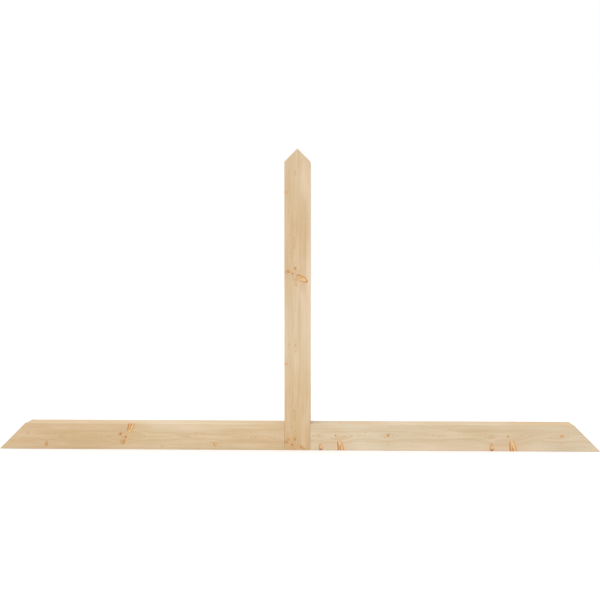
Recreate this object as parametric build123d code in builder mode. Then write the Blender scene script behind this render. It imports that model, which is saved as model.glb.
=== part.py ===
"""Timber gable bracket: a pointed king post standing between two mitred tie arms.

Millimetres. The origin is on the ground under the middle of the bracket. +X runs along the tie to
the right, +Y runs from the front face back to the wall, and +Z runs up the post.
"""

import os
from math import radians, tan

from build123d import *

# The roof triangle that the bracket fills
span = 2133.6  # underside of the tie from tip to tip, 84 in
roof_pitch = 45.0  # slope of both roof sides in degrees, 12 in 12

# The planed timbers, nominal 4 x 4 in
post_width = 92.0
arm_height = 92.0
timber_depth = 92.0  # front to back, the same in all three timbers
arris_radius = 1.5  # easing of the long edges

# The stub tenons that seat the arms in the post
tenon_length = 30.0
tenon_height = 56.0
tenon_thickness = 30.0
tenon_lead = 2.0  # chamfer round the tenon's end
mortise_clearance = 0.3  # on each side of the tenon
glue_room = 1.5  # beyond the end of the tenon

# The roof line falls from the post's peak to the tips of the tie
roof_slope = tan(radians(roof_pitch))
peak_height = span / 2 * roof_slope
shoulder_height = peak_height - post_width / 2 * roof_slope
mitre_run = arm_height / roof_slope


# King post: pointed at the top, with a mortise for an arm in each side of its foot
with BuildPart() as king_post:
    with BuildSketch(Plane.XZ):
        with BuildLine():
            Polyline(
                (-post_width / 2, 0),
                (post_width / 2, 0),
                (post_width / 2, shoulder_height),
                (0, peak_height),
                (-post_width / 2, shoulder_height),
                close=True,
            )
        make_face()
    extrude(amount=timber_depth / 2, both=True)
    fillet(king_post.edges().filter_by(Axis.Z), radius=arris_radius)

    for side in (-1, 1):
        with BuildSketch(Plane.YZ.offset(side * post_width / 2)):
            with Locations((0, arm_height / 2)):
                Rectangle(
                    tenon_thickness + 2 * mortise_clearance,
                    tenon_height + 2 * mortise_clearance,
                )
        extrude(amount=-side * (tenon_length + glue_room), mode=Mode.SUBTRACT)


def tie_arm(side):
    """One arm of the tie, on the side -1 (left) or +1 (right) of the post.

    It is longest along its underside, its far end is mitred to the roof line, and its near end
    butts against the post's side round a stub tenon.
    """
    shoulder = side * post_width / 2
    tip = side * span / 2
    with BuildPart() as arm:
        with BuildSketch(Plane.XZ):
            with BuildLine():
                Polyline(
                    (shoulder, 0),
                    (tip, 0),
                    (tip - side * mitre_run, arm_height),
                    (shoulder, arm_height),
                    close=True,
                )
            make_face()
        extrude(amount=timber_depth / 2, both=True)
        fillet(arm.edges().filter_by(Axis.X), radius=arris_radius)

        with BuildSketch(Plane.YZ.offset(shoulder)):
            with Locations((0, arm_height / 2)):
                Rectangle(tenon_thickness, tenon_height)
        extrude(amount=-side * tenon_length)
        tenon_end = arm.faces().filter_by(Plane.YZ).sort_by(Axis.X)[0 if side > 0 else -1]
        chamfer(tenon_end.edges(), length=tenon_lead)
    return arm


tie_arm_left = tie_arm(-1)
tie_arm_right = tie_arm(1)

king_post.part.label = "king_post"
tie_arm_left.part.label = "tie_arm_left"
tie_arm_right.part.label = "tie_arm_right"

os.makedirs("parts", exist_ok=True)
export_step(king_post.part, "parts/king_post.step")
export_step(tie_arm_left.part, "parts/tie_arm_left.step")
export_step(tie_arm_right.part, "parts/tie_arm_right.step")
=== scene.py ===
from collections import namedtuple

import bpy
import numpy as np
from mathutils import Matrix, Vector


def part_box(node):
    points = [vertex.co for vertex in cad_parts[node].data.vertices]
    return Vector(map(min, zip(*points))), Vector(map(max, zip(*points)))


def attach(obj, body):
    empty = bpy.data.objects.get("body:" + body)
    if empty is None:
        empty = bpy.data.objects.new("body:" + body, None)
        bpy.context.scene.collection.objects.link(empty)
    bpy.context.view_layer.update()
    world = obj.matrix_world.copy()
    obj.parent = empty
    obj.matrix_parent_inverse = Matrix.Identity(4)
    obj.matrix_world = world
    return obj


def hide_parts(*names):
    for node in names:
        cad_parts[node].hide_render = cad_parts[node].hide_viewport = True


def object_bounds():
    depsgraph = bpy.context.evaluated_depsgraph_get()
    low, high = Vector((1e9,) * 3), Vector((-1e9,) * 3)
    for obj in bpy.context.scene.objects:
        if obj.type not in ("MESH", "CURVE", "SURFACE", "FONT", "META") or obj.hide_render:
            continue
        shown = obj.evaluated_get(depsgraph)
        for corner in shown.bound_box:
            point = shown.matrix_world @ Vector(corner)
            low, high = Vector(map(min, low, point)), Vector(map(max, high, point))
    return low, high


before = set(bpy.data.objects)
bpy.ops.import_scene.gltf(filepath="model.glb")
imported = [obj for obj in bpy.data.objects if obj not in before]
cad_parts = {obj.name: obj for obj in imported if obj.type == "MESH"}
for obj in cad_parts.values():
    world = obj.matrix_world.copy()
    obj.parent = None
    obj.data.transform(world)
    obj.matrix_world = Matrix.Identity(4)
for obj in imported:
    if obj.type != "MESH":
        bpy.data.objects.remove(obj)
cad_low, cad_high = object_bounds()


# King post: one planed 4 x 4 in spruce timber, sawn square at the foot and to a point at the top.
# It is boxed-heart stock: the pith runs the whole length, a thumb's width behind the front face,
# and the branches that grew out of it show as pin knots and, cut lengthwise, as striped spikes.
MM = 0.001
arris = 1.5 * MM  # the long edges, rounded by the planer
sawn_edge = 0.5 * MM  # the edges of the saw cuts, taken off with sandpaper
flat_points, arris_points = 15, 6
grain_rings, edge_rings = 50, 5
cut_margin = 8  # from a cut's edge to the first ring on the cut, as a number of sawn edges
sharp_angle = np.radians(40)  # shading breaks where faces meet at more than this


def planed_outline(half_across, half_deep):
    """The timber's section, one closed loop of (across, deep) points.

    On a flat the points lie at the sine of an even step, so they crowd towards the arrises. On an
    arris they lie on a quarter circle.
    """
    crowded = np.sin(np.linspace(-1, 1, flat_points) * np.pi / 2)
    quarter = np.linspace(0, np.pi / 2, arris_points)[1:-1]
    flats = np.array([half_across, half_deep]) - arris
    loop = []
    for facing_angle in np.radians([-90, 0, 90, 180]):
        facing = np.array([np.cos(facing_angle), np.sin(facing_angle)]).round()
        sideways = np.array([-facing[1], facing[0]])
        turn = facing_angle + quarter
        loop.append(flats * (facing + crowded[:, None] * sideways) + arris * facing)
        loop.append(flats * (facing + sideways) + arris * np.stack([np.cos(turn), np.sin(turn)], 1))
    return np.concatenate(loop)


def sawn_timber(name, half_across, half_deep, low_cut, high_cut, place):
    """A closed skin over one timber, as a grid of rings by points round the outline.

    The rings start just inside the low cut's edge, turn over it on a quarter circle, run along the
    grain at the cosine of an even step, and end over the high cut in the same way. A point's place
    along the grain is (1 - share) of the low cut plus share of the high cut, plus the ring's
    offset. A fan closes each cut. low_cut and high_cut give the sawn faces as a place along the
    grain from across and deep, and place turns along, across and deep into x, y and z.
    """
    turn = np.linspace(0, np.pi / 2, edge_rings)
    edge = sawn_edge / half_across
    end_size = np.append(1 - cut_margin * edge, 1 - edge * (1 - np.sin(turn)))
    end_offset = np.append(0, sawn_edge * (1 - np.cos(turn)))
    end_grain = np.append(1, 1 - turn / turn[-1])
    run = (1 - np.cos(np.linspace(0, np.pi, grain_rings)[1:-1])) / 2
    size = np.concatenate([end_size, 1 + 0 * run, end_size[::-1]])
    share = np.concatenate([0 * end_size, run, 1 + 0 * end_size])
    offset = np.concatenate([end_offset, sawn_edge * (1 - 2 * run), -end_offset[::-1]])
    sawn = np.concatenate([end_grain, 0 * run, end_grain[::-1]])

    outline = planed_outline(half_across, half_deep)
    across, deep = size[:, None] * outline[:, 0], size[:, None] * outline[:, 1]
    low, high = low_cut(across, deep), high_cut(across, deep)
    along = (1 - share[:, None]) * low + share[:, None] * high + offset[:, None]
    grid = np.stack(place(along, across, deep), 2).reshape(-1, 3)
    middle = np.zeros(1)
    poles = [np.stack(place(cut(middle, middle), middle, middle), 1) for cut in (low_cut, high_cut)]

    rings, steps = along.shape
    index = np.arange(rings * steps).reshape(rings, steps)
    beside = np.roll(index, -1, 1)
    quads = np.stack([index[:-1], beside[:-1], beside[1:], index[1:]], 2).reshape(-1, 4)
    low_fan = np.stack([beside[0], index[0], np.full(steps, len(grid))], 1)
    high_fan = np.stack([index[-1], beside[-1], np.full(steps, len(grid) + 1)], 1)
    faces = [*quads.tolist(), *low_fan.tolist(), *high_fan.tolist()]
    axes = np.array(place(*np.eye(3))) - np.array(place(*np.zeros((3, 1))))
    if np.linalg.det(axes) < 0:
        faces = [face[::-1] for face in faces]

    mesh = bpy.data.meshes.new(name)
    mesh.from_pydata(np.concatenate([grid, *poles]), [], faces)
    mesh.shade_smooth()
    mesh.set_sharp_from_angle(angle=sharp_angle)
    cut_marks = mesh.attributes.new("end_grain", "FLOAT", "POINT")
    cut_marks.data.foreach_set("value", np.append(np.repeat(sawn, steps), [1.0, 1.0]))
    timber = bpy.data.objects.new(name, mesh)
    bpy.context.collection.objects.link(timber)
    return timber


class Flow:
    """A node's output. Arithmetic on flows adds Math nodes, and node() adds any other kind."""

    def __init__(self, tree, socket=None):
        self.tree, self.socket = tree, socket

    def node(self, kind, inputs, output=0, stops=(), colour=None, **settings):
        """Adds a node: its settings first, then its inputs, and gives back the outputs asked for."""
        made = self.tree.nodes.new(kind if kind.startswith("NodeGroup") else "ShaderNode" + kind)
        for setting, value in settings.items():
            setattr(made, setting, value)
        for index, (position, stop_colour) in enumerate(stops):
            ramp = made.color_ramp.elements
            stop = ramp[index] if index < 2 else ramp.new(position)
            stop.position, stop.color = position, stop_colour
        if colour:
            made.outputs[0].default_value = colour
        for key, value in inputs.items():
            if isinstance(value, Flow):
                self.tree.links.new(value.socket, made.inputs[key])
            else:
                made.inputs[key].default_value = value
        if isinstance(output, tuple):
            return [Flow(self.tree, made.outputs[each]) for each in output]
        return None if output is None else Flow(self.tree, made.outputs[output])

    def maths(self, operation, *others):
        return self.node("Math", dict(enumerate((self, *others))), operation=operation)

    def __add__(self, other):
        return self.maths("ADD", other)

    def __sub__(self, other):
        return self.maths("SUBTRACT", other)

    def __rsub__(self, other):
        return self.node("Math", {0: other, 1: self}, operation="SUBTRACT")

    def __mul__(self, other):
        return self.maths("MULTIPLY", other)

    def __truediv__(self, other):
        return self.maths("DIVIDE", other)

    def __pow__(self, other):
        return self.maths("POWER", other)

    __radd__, __rmul__ = __add__, __mul__

    def lower(self, other):
        return self.maths("MINIMUM", other)

    def higher(self, other):
        return self.maths("MAXIMUM", other)

    def step(self, start, end):
        """0 before start and 1 after end, smooth between them, also where end comes first.

        A smooth step never leaves that range, and the clamps of many knots would fill Cycles' stack.
        """
        settings = {"interpolation_type": "SMOOTHSTEP", "clamp": False}
        return self.node("MapRange", {0: self, 1: start, 2: end}, **settings)

    def waves(self, count):
        """Swings from 0 to 1 and back that many times for each 1 that this value grows."""
        return (self * (2 * np.pi * count)).maths("COSINE") * 0.5 + 0.5

    def vector(self, operation, *others):
        """Vector Math on this vector: a number for a length or a dot product, or else a vector."""
        output = "Value" if operation in ("LENGTH", "DOT_PRODUCT") else "Vector"
        return self.node("VectorMath", dict(enumerate((self, *others))), output, operation=operation)

    def noise(self, stretch=(1, 1, 1), detail=2.0, roughness=0.5):
        """Noise around 0 in this vector, whose axes are first multiplied by stretch."""
        inputs = {"Vector": self.vector("MULTIPLY", stretch), "Scale": 1.0}
        return self.node("TexNoise", {**inputs, "Detail": detail, "Roughness": roughness}) - 0.5

    def wander(self, reach, start=0):
        """Slow noise around 0 along this value, which changes over about that reach."""
        inputs = {"W": self + start, "Scale": 1 / reach, "Detail": 1.0}
        return self.node("TexNoise", inputs, noise_dimensions="1D") - 0.5

    def tint(self, colour, amount, **settings):
        """This colour moved towards another one by an amount from 0 to 1."""
        return self.node("Mix", {0: amount, 6: self, 7: colour}, 2, data_type="RGBA", **settings)


def paint(red, green, blue):
    """A colour as it looks on screen, turned into the share of light that the surface sends back.

    This is the usual curve of screens: a power of 2.4, with a straight line near black.
    """
    seen = np.array([red, green, blue]) / 255
    return (*np.where(seen <= 0.04045, seen / 12.92, ((seen + 0.055) / 1.055) ** 2.4), 1.0)


KNOT_MARKS = ("Nearest", "Inside", "Darkness", "Lift")


def branch_in_timber():
    """A node group that adds one branch's marks to those of the branches before it.

    The branch is a rod round the line from Root to Tip. Its radius is Radius times the way out,
    from 0 at the root to 1 at the tip, to the power of taper. Nearest is the distance from the
    nearest branch's line over its radius there, and Inside is 1 in knot wood. Darkness is up to 1
    in a red heart, and up to 0.5 on the side that faced down in the tree, where a branch grows dark
    wood to hold itself up. Round a branch the timber's rings lift, about three times as far along
    the grain as across it.
    """
    taper = 0.3
    down_side_darkness = 0.5
    grain_way = (1.0, 0.0, 0.0)
    squash = (0.32, 1.0, 1.0)  # along the grain, for the rings' lift
    group = bpy.data.node_groups.new("branch_in_timber", "ShaderNodeTree")
    places, measures = ("Place", "Root", "Tip"), ("Radius", "Strength", "Red")
    for name in places:
        group.interface.new_socket(name, in_out="INPUT", socket_type="NodeSocketVector")
    for name in measures + KNOT_MARKS:
        group.interface.new_socket(name, in_out="INPUT", socket_type="NodeSocketFloat")
    for name in KNOT_MARKS:
        group.interface.new_socket(name, in_out="OUTPUT", socket_type="NodeSocketFloat")

    flow = Flow(group)
    given = flow.node("NodeGroupInput", {}, places + measures + KNOT_MARKS)
    place, root, tip, radius, strength, red, nearest, inside, darkness, lift = given
    from_root, branch = place.vector("SUBTRACT", root), tip.vector("SUBTRACT", root)
    line = branch.vector("NORMALIZE")
    out = from_root.vector("DOT_PRODUCT", line)
    way_out = out / branch.vector("LENGTH")
    girth = way_out.higher(0.01) ** taper * radius
    ratio = from_root.vector("CROSS_PRODUCT", line).vector("LENGTH") / girth

    # Knot wood fills the branch and fades out towards its root, and a red heart shows at its tip
    knot = ratio.step(1.08, 0.92) * way_out.step(0.2, 0.5) * strength
    heart = ratio.step(0.9, 0.35) * way_out.step(0.8, 1.0)

    # Above is the side of the branch that faces the treetop, the way that it climbs
    climb = line.vector("DOT_PRODUCT", grain_way)
    above = (from_root.vector("DOT_PRODUCT", grain_way) - climb * out) * climb.maths("SIGN")
    below = (0 - above / girth).step(0.1, 0.8)

    # The lift is full at the branch, and gone at its root and beyond 2.2 radii and 4 mm from it
    flat_line = branch.vector("MULTIPLY", squash).vector("NORMALIZE")
    aside = from_root.vector("MULTIPLY", squash).vector("CROSS_PRODUCT", flat_line).vector("LENGTH")
    near = aside.step(radius * 2.2 + 4, 0) * out.step(0, 8)

    marks = {
        "Nearest": ratio.lower(nearest),
        "Inside": knot.higher(inside),
        "Darkness": (heart * red).higher(below * knot * down_side_darkness).higher(darkness),
        "Lift": near * (radius + 1.0) + lift,
    }
    flow.node("NodeGroupOutput", marks, None)
    return group


branch_group = branch_in_timber()

# Places in the timber are millimetres along the grain, across it and deep into it, the last two
# from the timber's middle
FACE = 46  # from the middle to each face: the front face is at a depth of -FACE
PITH = 15  # from the front face back to the pith

# A knot: where the branch's middle comes out of the timber, its radius there, how far it climbed
# along the grain on its way out, how strongly it shows, how red its heart is, how deep the place
# where it comes out is, and how far behind the front face its root is. A knot of strength 0 is a
# bud that healed over: only the rings bend.
KNOT_DEFAULTS = (0, 0.8, 0.3, -FACE, PITH)
Knot = namedtuple("Knot", "along across radius climb strength red deep root", defaults=KNOT_DEFAULTS)

# A patch of paler wood, or of browner wood where paleness is below 0, with its middle and its
# reach, both along, across and deep
Patch = namedtuple("Patch", "middle reach paleness")

# The colours that planed spruce has beside its pale early wood, whose colour is each timber's own:
# late wood, darker years, streaks, slow drifts, fibres, resin pores, the stain round the knots, and
# how a saw cut darkens them all
late_wood = paint(180, 144, 97)
darker_years = paint(196, 162, 118)
pale_streak, brown_streak = paint(226, 207, 178), paint(196, 163, 120)
pale_drift, brown_drift = paint(230, 208, 183), paint(198, 166, 116)
fibre_shade, pore_shade = paint(184, 146, 102), paint(170, 128, 82)
knot_stain = paint(200, 154, 102)
sawn_shade = paint(214, 190, 160)

# The colours of knot wood: its ground and paler mottles, its rings, its bark and middle, and then
# its dark side and its red heart
knot_ground, knot_mottle = paint(233, 192, 138), paint(244, 209, 157)
knot_ring, knot_bark = paint(170, 110, 52), paint(164, 104, 50)
dark_side, red_heart = paint(170, 108, 46), paint(138, 74, 42)


def planed_spruce(name, read_grain, pith_across, knots, patches, tones):
    """Solid spruce: growth rings round the pith, lifted by the knots, and fibres along the grain.

    read_grain turns x, y and z into along, across and deep. All lengths are millimetres.
    tones are the (along, colour) stops of the timber's own colour from end to end.
    """
    material = bpy.data.materials.new(name)
    material.use_nodes = True
    material.node_tree.nodes.clear()
    flow = Flow(material.node_tree)

    place = flow.node("TexCoord", {}, "Object")
    metres = flow.node("SeparateXYZ", {0: place}, ("X", "Y", "Z"))
    along, across, deep = read_grain(*(axis / MM for axis in metres))
    grain = flow.node("CombineXYZ", {0: along, 1: across, 2: deep})

    # Branches: their places are read through a wobble of up to 2 mm, so no knot is a true ellipse
    wobble = flow.node("TexNoise", {"Vector": grain, "Scale": 0.09, "Detail": 1.0}, "Color")
    wobble = wobble.vector("SUBTRACT", (0.5, 0.5, 0.5)).vector("MULTIPLY", (4.0, 4.0, 4.0))
    bent = grain.vector("ADD", wobble)
    no_branch = (9.0, 0.0, 0.0, 0.0)  # the nearest one is nine radii away
    marks = dict(zip(KNOT_MARKS, no_branch))
    for knot in knots:
        branch = {
            "Place": bent,
            "Root": (knot.along - knot.climb, pith_across, knot.root - FACE),
            "Tip": (knot.along, knot.across, knot.deep),
            "Radius": knot.radius,
            "Strength": knot.strength,
            "Red": knot.red,
        }
        grown = flow.node("Group", {**branch, **marks}, KNOT_MARKS, node_tree=branch_group)
        marks = dict(zip(KNOT_MARKS, grown))
    nearest, inside, darkness, lift = marks.values()

    # Growth rings: years counted outwards from a wandering pith. In each, late wood comes on slowly
    # and ends sharply. It is stronger in some years, and whole runs of years are darker.
    year_growth = 3.1
    side = across - (along.wander(420) * 10 + pith_across)
    back = deep - (along.wander(300, 5000) * 12 + (PITH - FACE))
    from_pith = (side * side + back * back).maths("SQRT")
    age = (from_pith + grain.noise((0.006, 0.05, 0.05)) * 5 - lift) / year_growth
    ring, year = age.maths("FRACT"), age.maths("FLOOR")
    season = flow.node("TexWhiteNoise", {"W": year}, noise_dimensions="1D")
    late = ring.step(0.35, 0.9) * ring.step(1.0, 0.95) * (season * 0.7 + 0.3)
    era = (age.wander(4.3) * 1.6 + 0.1).higher(0)

    # Along the grain: fibres under a millimetre wide, streaks of a few millimetres, drifts of some
    # centimetres, and resin pores as fine dashes
    fibre = grain.noise((0.02, 1.3, 1.3), 3.0, 0.6)
    streak = grain.noise((0.0045, 0.16, 0.16), 2.0, 0.55) * 2.2
    drift = grain.noise((0.006, 0.03, 0.03)) * 2
    for patch in patches:
        away = grain.vector("SUBTRACT", patch.middle).vector("DIVIDE", patch.reach).vector("LENGTH")
        drift = drift + away.step(1, 0) * patch.paleness
    pores = grain.noise((0.11, 2.6, 2.6), 1.0).step(0.2, 0.3)

    first, last = tones[0][0], tones[-1][0]
    length = flow.node("MapRange", {0: along, 1: first, 2: last})
    stops = [((where - first) / (last - first), paint(*colour)) for where, colour in tones]
    wood = flow.node("ValToRGB", {0: length}, stops=stops)
    sawn = flow.node("Attribute", {}, "Fac", attribute_name="end_grain")
    wood = wood.tint(late_wood, late * (0.55 + 0.35 * sawn))
    wood = wood.tint(darker_years, era * 0.5)
    wood = wood.tint(pale_streak, streak.higher(0) * 0.5)
    wood = wood.tint(brown_streak, (0 - streak).higher(0) * 0.5)
    wood = wood.tint(pale_drift, drift.higher(0) * 0.6)
    wood = wood.tint(brown_drift, (0 - drift).higher(0) * 0.5)
    wood = wood.tint(fibre_shade, fibre.higher(0) * 0.77)
    wood = wood.tint(pore_shade, pores * 0.35)
    wood = wood.tint(knot_stain, lift.step(0, 14) * (0.12 + 0.35 * late + 0.4 * streak))

    # Knot wood: light orange with rings, darker at the bark and in the middle
    mottle = bent.noise((0.3, 0.3, 0.3))
    from_heart = nearest + mottle * 0.3
    bark_and_middle = from_heart.step(0.66, 0.9) + from_heart.step(0.32, 0.12)
    knot_wood = flow.node("RGB", {}, colour=knot_ground)
    knot_wood = knot_wood.tint(knot_mottle, (mottle * 3).higher(0))
    knot_wood = knot_wood.tint(knot_ring, from_heart.waves(4) * 0.35)
    knot_wood = knot_wood.tint(knot_bark, bark_and_middle * 0.7)
    knot_wood = knot_wood.tint(dark_side, (darkness * 1.3).lower(1))
    knot_wood = knot_wood.tint(red_heart, darkness.step(0.5, 1.0))
    wood = wood.tint(knot_wood, inside)
    wood = wood.tint(sawn_shade, sawn * 0.75, blend_type="MULTIPLY")

    height = late * 0.05 + fibre * 0.07 - pores * 0.05 + inside * 0.08
    surface = {
        "Base Color": wood,
        "Roughness": 0.56 + fibre * 0.16 - late * 0.05 + sawn * 0.15,
        "Specular IOR Level": 0.35,
        "Normal": flow.node("Bump", {"Strength": 1.0, "Distance": MM, "Height": height}),
    }
    flow.node("OutputMaterial", {"Surface": flow.node("BsdfPrincipled", surface)}, None)
    return material


post_knots = [
    Knot(981, -6, 3.5, strength=0.55, red=0.1),
    Knot(912, -41, 4.5, strength=0.9, red=0.2, root=25),
    Knot(819, 40, 3.5, strength=0.15, root=45),
    Knot(745, 38, 3.0, strength=0.12, root=45),
    Knot(738, -16, 6.0, strength=0),
    Knot(645, -8, 4.5, 12, strength=0.95, red=0.5),
    Knot(634, -31, 5.0, 2, strength=1.0, red=0.5),
    Knot(632, -42, 4.0, strength=0.8, red=0.3, root=25),
    Knot(625, -17, 4.0, strength=0.95, red=0.7),
    Knot(611, 12, 9.0, -13, strength=1.0, red=0.0, root=10),
    Knot(528, 36, 3.0, strength=0.2, red=0.4, root=45),
    Knot(374, -28, 3.5, strength=0.35, root=30),
    Knot(374, -7, 4.0, strength=0.45),
    Knot(306, -41, 4.5, strength=0.9, red=0.2, root=25),
    Knot(128, -15, 6.0, strength=0),
    Knot(38, -8, 4.5, 12, strength=1.0, red=0.7),
    Knot(37, -31, 5.0, strength=0.95, red=0.45, root=25),
    Knot(28, -38, 6.0, strength=0.95, red=0.6, root=25),
    Knot(19, -18, 4.5, strength=0.95, red=0.8),
    Knot(11, 12, 4.5, -13, strength=1.0, red=0.4, root=6),
    # The sides and the back
    Knot(925, 14, 5.5, 5, deep=FACE),
    Knot(820, -FACE, 5.0, 4, deep=16),
    Knot(640, 14, 9.0, 14, strength=0.95, deep=FACE),
    Knot(634, FACE, 7.0, 8, strength=0.9, deep=20),
    Knot(628, -FACE, 8.0, 8, strength=0.9, deep=4),
    Knot(612, -24, 8.0, 8, strength=0.95, deep=FACE),
    Knot(320, -10, 5.5, 5, deep=FACE),
    Knot(318, FACE, 5.0, 4, deep=10),
    Knot(44, 10, 9.0, 14, strength=0.95, deep=FACE),
]
post_patches = [
    Patch((600, 50, -FACE), (480, 30, 60), 1.2),
    Patch((960, 30, -FACE), (120, 40, 60), 0.8),
]
post_tones = [
    (0, (203, 172, 128)),
    (200, (208, 183, 144)),
    (330, (216, 196, 165)),
    (520, (211, 189, 156)),
    (700, (204, 177, 138)),
    (870, (207, 183, 147)),
    (1067, (211, 189, 157)),
]

post_low, post_high = (Vector(corner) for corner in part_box("king_post"))
post_half = (post_high.x - post_low.x) / 2
roof_slope = cad_high[2] / cad_high[0]  # from the tips of the tie up to the peak
king_post = sawn_timber(
    "king_post_timber",
    post_half,
    (post_high.y - post_low.y) / 2,
    low_cut=lambda across, deep: post_low.z + 0 * across,
    high_cut=lambda across, deep: post_high.z - roof_slope * abs(across),
    place=lambda along, across, deep: (across, deep, along),
)
post_spruce = planed_spruce(
    "post_spruce", lambda x, y, z: (z, x, y), -8.5, post_knots, post_patches, post_tones
)
king_post.data.materials.append(post_spruce)
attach(king_post, "root")
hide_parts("king_post")


# Tie arms: two more of the same timbers, laid level, each mitred to the roof slope at its far end
# and butted against the post's side. The left one came from a warmer board, the right one from a
# paler board.
def tie_arm(side, name, pith_across, knots, patches, tones):
    """The arm on side -1 (left) or 1 (right) of the post, cut square at the post.

    The mitre's place along the grain is the tip, less the height above the underside over the
    roof's slope.
    """
    low, high = (Vector(corner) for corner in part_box(f"tie_arm_{name}"))
    middle, half, half_deep = (low.z + high.z) / 2, (high.z - low.z) / 2, (high.y - low.y) / 2
    tip = low.x if side < 0 else high.x

    def mitre(across, deep):
        return tip - side * (across + half) / roof_slope

    def shoulder(across, deep):
        return side * post_half + 0 * across

    low_cut, high_cut = (mitre, shoulder) if side < 0 else (shoulder, mitre)
    arm = sawn_timber(
        f"tie_arm_{name}_timber",
        half,
        half_deep,
        low_cut,
        high_cut,
        place=lambda along, across, deep: (along, deep, across + middle),
    )

    def read_grain(x, y, z):
        return x, z - middle / MM, y

    spruce = planed_spruce(f"{name}_arm_spruce", read_grain, pith_across, knots, patches, tones)
    arm.data.materials.append(spruce)
    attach(arm, "root")
    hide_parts(f"tie_arm_{name}")


left_knots = [
    Knot(-1016, -11, 3.0, strength=0.3),
    Knot(-965, 10, 4.5, strength=0.6, red=0.4),
    Knot(-898, -27, 6.0, strength=1.0, red=0.5, root=25),
    Knot(-734, 0, 7.0, strength=0),
    Knot(-632, 8, 5.0, 16, strength=1.0, red=0.75),
    Knot(-623, -18, 8.5, -4, strength=0.95, red=0.45, root=25),
    Knot(-613, -2, 5.0, strength=1.0, red=0.7),
    Knot(-591, FACE, 11.0, 15, strength=1.0, red=0.0, root=4),
    Knot(-482, -36, 2.5, strength=0.5, red=0.6, root=40),
    Knot(-458, 5, 2.5, strength=0.5),
    Knot(-361, 10, 4.0, strength=0.65, red=0.0),
    Knot(-293, -27, 5.5, 3, strength=1.0, red=0.1, root=30),
    Knot(-124, 0, 7.0, strength=0),
    Knot(-79, -7, 3.0, strength=0.4),
    # The top, the back and the underside
    Knot(-965, FACE, 4.5, 3, deep=4),
    Knot(-890, -8, 6.0, 5, deep=FACE),
    Knot(-622, -24, 8.0, 10, strength=0.95, deep=FACE),
    Knot(-618, -FACE, 9.0, 6, strength=0.9, deep=6),
    Knot(-598, 12, 9.5, 16, strength=0.95, deep=FACE),
    Knot(-490, FACE, 3.0, strength=0.5, deep=-8),
    Knot(-300, -FACE, 5.5, 3, deep=20),
    Knot(-286, 20, 6.0, 5, deep=FACE),
]
left_patches = [
    Patch((-400, 50, -FACE), (320, 40, 40), 0.8),
]
left_tones = [
    (-1067, (209, 185, 151)),
    (-800, (203, 176, 136)),
    (-480, (211, 191, 156)),
    (-46, (206, 181, 142)),
]
tie_arm(-1, "left", 0, left_knots, left_patches, left_tones)

right_knots = [
    Knot(79, 6, 3.0, strength=0.45),
    Knot(83, -FACE, 7.0, 2, strength=0.85, red=1.0, root=13),
    Knot(136, 7, 3.0, strength=0.8, red=0.8),
    Knot(155, -FACE, 11.0, 10, strength=1.0, red=0.0, root=7),
    Knot(241, 17, 2.5, 16, strength=0.7, red=0.1),
    Knot(309, 2, 2.5, strength=0.5, red=0.5),
    Knot(321, 8, 5.5, 8, strength=0.9, red=0.45),
    Knot(321, -22, 4.0, strength=0.2, root=12),
    Knot(331, 39, 3.5, strength=0.12, root=35),
    Knot(401, -28, 2.5, strength=0.3, root=35),
    Knot(440, 41, 4.0, strength=0.18, root=40),
    Knot(486, 15, 2.5, strength=0.3),
    Knot(501, 4, 2.5, strength=0.3),
    Knot(537, 29, 2.5, strength=0.35, root=35),
    Knot(569, 9, 2.5, strength=0.4),
    Knot(686, 5, 4.0, strength=0.55, red=0.2),
    Knot(687, -FACE, 8.0, 2, strength=0.85, red=1.0, root=13),
    Knot(743, 6, 4.0, strength=0.8, red=0.6),
    Knot(762, -FACE, 12.5, 9, strength=1.0, red=0.0, root=7),
    Knot(787, 10, 3.0, strength=0.35),
    Knot(846, 12, 5.0, strength=0),
    Knot(898, 2, 5.0, strength=0),
    Knot(931, 8, 5.5, 6, strength=0.85, red=0.4),
    Knot(932, -16, 4.0, strength=0.25),
    Knot(1012, -30, 2.5, strength=0.55, red=0.5, root=40),
    # The top, the back and the underside
    Knot(96, 16, 9.0, 12, strength=0.95, deep=FACE),
    Knot(150, -14, 8.0, 10, strength=0.95, deep=FACE),
    Knot(152, FACE, 7.0, 6, strength=0.9, deep=12),
    Knot(310, -FACE, 5.0, 3, deep=14),
    Knot(340, -4, 6.0, 6, deep=FACE),
    Knot(460, FACE, 3.5, 2, strength=0.6, deep=-6),
    Knot(700, 18, 9.0, 12, strength=0.95, deep=FACE),
    Knot(752, -12, 8.0, 9, strength=0.95, deep=FACE),
    Knot(775, FACE, 8.0, 10, strength=0.9, deep=30),
    Knot(950, 6, 6.0, 6, deep=FACE),
]
right_patches = [
    Patch((230, 54, 0), (170, 18, 120), -1.8),
    Patch((560, 54, 0), (520, 14, 80), -1.6),
    Patch((900, 54, 0), (260, 18, 160), -2.6),
    Patch((110, 30, -FACE), (90, 40, 60), -0.7),
    Patch((640, 20, -FACE), (90, 50, 60), -0.8),
    Patch((560, -50, -FACE), (900, 48, 80), 0.9),
]
right_tones = [
    (46, (213, 196, 166)),
    (220, (218, 205, 180)),
    (520, (207, 189, 158)),
    (1067, (210, 196, 171)),
]
tie_arm(1, "right", 6, right_knots, right_patches, right_tones)


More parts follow.
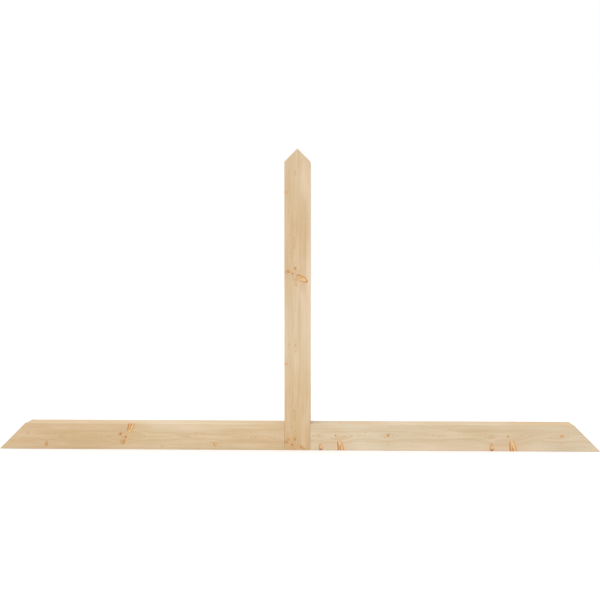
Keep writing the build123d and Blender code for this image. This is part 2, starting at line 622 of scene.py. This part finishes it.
# Studio: a pale floor that reaches to the horizon, a white tent of light round the bracket, and
# one wide, soft lamp above and to the left of the camera
floor_reach = 40.0
floor_drop = 0.2 * MM  # below the bracket's underside, so that the two never flicker
floor_mesh = bpy.data.meshes.new("studio_floor")
floor_corners = np.array([(-1, -1, 0), (1, -1, 0), (1, 1, 0), (-1, 1, 0)]) * floor_reach
floor_mesh.from_pydata(floor_corners + (0, 0, cad_low[2] - floor_drop), [], [(0, 1, 2, 3)])
floor = bpy.data.objects.new("studio_floor", floor_mesh)
bpy.context.collection.objects.link(floor)
floor_paint = bpy.data.materials.new("floor_paint")
floor_paint.use_nodes = True
floor_shader = floor_paint.node_tree.nodes["Principled BSDF"]
floor_shader.inputs["Base Color"].default_value = (0.9, 0.9, 0.9, 1.0)
floor_shader.inputs["Roughness"].default_value = 0.9
floor_shader.inputs["Specular IOR Level"].default_value = 0.0
floor_mesh.materials.append(floor_paint)

tent = bpy.data.worlds.new("light_tent")
tent.use_nodes = True
tent.node_tree.nodes["Background"].inputs["Color"].default_value = (1.0, 1.0, 1.0, 1.0)
tent.node_tree.nodes["Background"].inputs["Strength"].default_value = 1.0
bpy.context.scene.world = tent

lamp_width = 50  # degrees, seen from the bracket: the wider, the softer its shadows
light_way = Vector((0.35, 0.3, -1))  # to the right, to the back and mostly down
lamp_data = bpy.data.lights.new("soft_lamp", "SUN")
lamp_data.angle = np.radians(lamp_width)
lamp_data.energy = 0.9
lamp = bpy.data.objects.new("soft_lamp", lamp_data)
lamp.rotation_euler = light_way.to_track_quat("-Z", "Y").to_euler()
bpy.context.collection.objects.link(lamp)


# Camera: where the photograph was taken from, worked out from the bracket's corners in it. Its
# focal length is in the photograph's pixels, and the sensor is as wide as the photograph.
photo_width, focal_length = 600, 1040.3  # pixels
tilt_down, turn_left = 1.526, 1.852  # degrees
camera_data = bpy.data.cameras.new("camera")
camera_data.sensor_width = 36.0
camera_data.lens = camera_data.sensor_width * focal_length / photo_width
camera = bpy.data.objects.new("camera", camera_data)
camera.location = (0.1283, -3.7212, 0.6308)
camera.rotation_euler = np.radians([90 - tilt_down, 0.0, turn_left])
bpy.context.collection.objects.link(camera)
bpy.context.scene.camera = camera
bpy.context.scene.view_settings.view_transform = "Standard"
